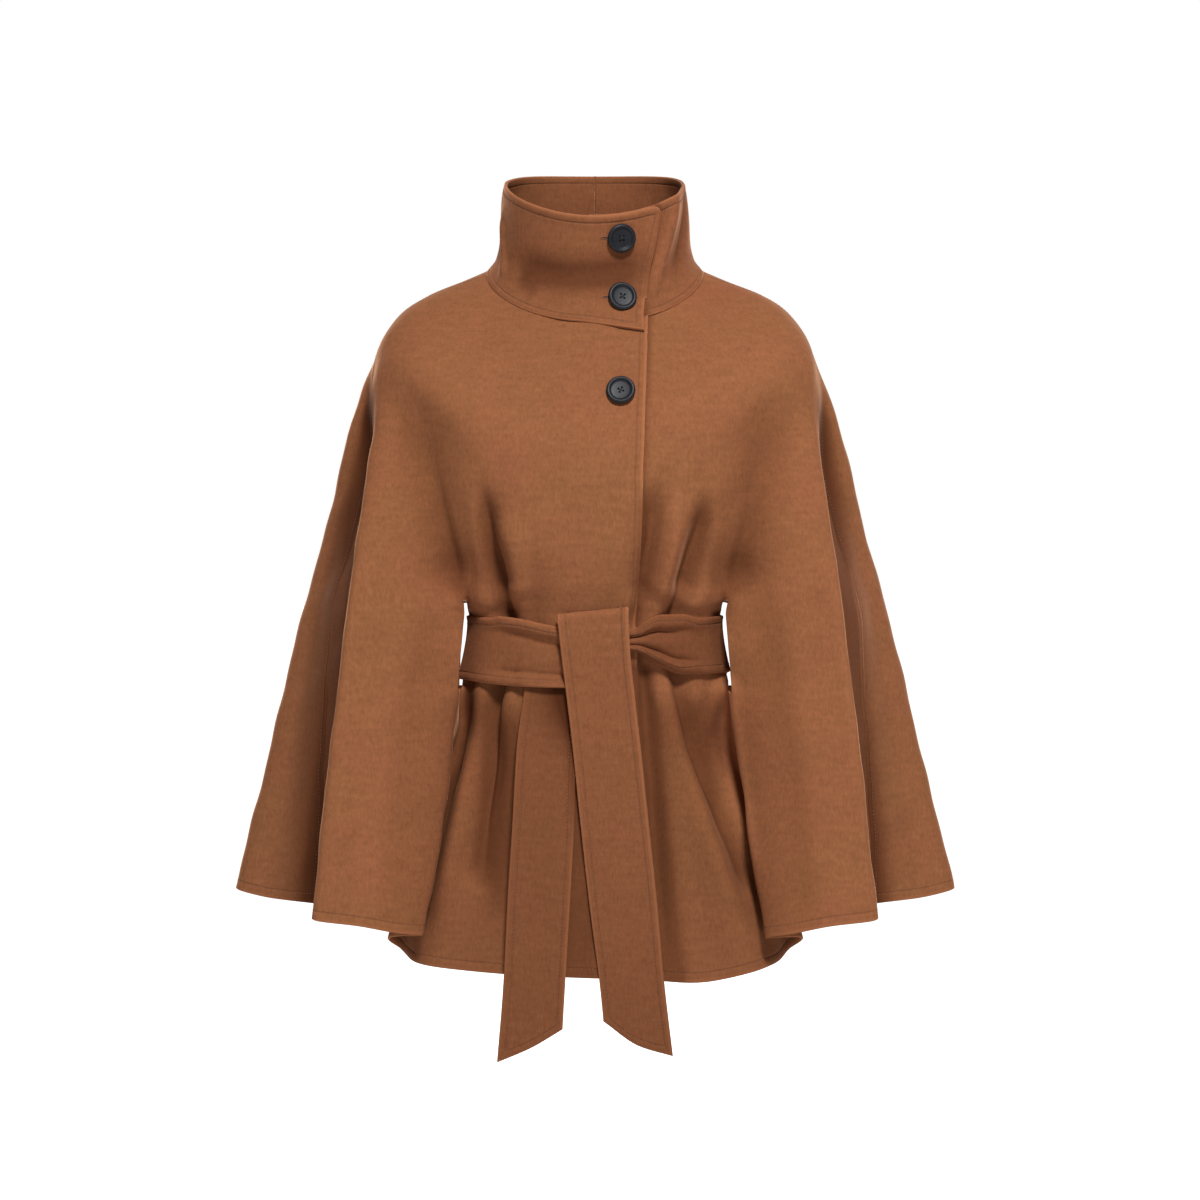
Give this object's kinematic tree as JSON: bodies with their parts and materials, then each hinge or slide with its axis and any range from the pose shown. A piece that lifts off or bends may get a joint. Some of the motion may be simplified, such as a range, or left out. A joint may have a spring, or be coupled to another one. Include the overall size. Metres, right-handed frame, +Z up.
{
  "type": "wool cape",
  "caption": "Short hollow wool cape with a funnel collar, a buttoned overlapping front and a tie belt passed through waist slits.",
  "frame": {"origin": "middle of the neck, level with the sides of the neck seam, where the wearer's neck and shoulders hold the cape", "axes": "+Z up, -Y towards the front of the garment, +X towards the wearer's left"},
  "size_m": [0.7192, 0.3573, 0.8605],
  "materials": {
    "camel_wool": "brushed wool coating, soft nap",
    "camel_wool_collar": "brushed wool coating, soft nap",
    "camel_wool_belt": "brushed wool coating, soft nap",
    "dark_horn": "satin horn"
  },
  "bodies": {
    "root": {"front_right": "camel_wool", "front_left": "camel_wool", "back": "camel_wool", "collar_right": "camel_wool_collar", "collar_left": "camel_wool_collar", "belt_band": "camel_wool_belt", "belt_tail_front": "camel_wool_belt", "belt_tail_rear": "camel_wool_belt", "button_1": "dark_horn", "button_2": "dark_horn", "button_3": "dark_horn"}
  },
  "joints": []
}
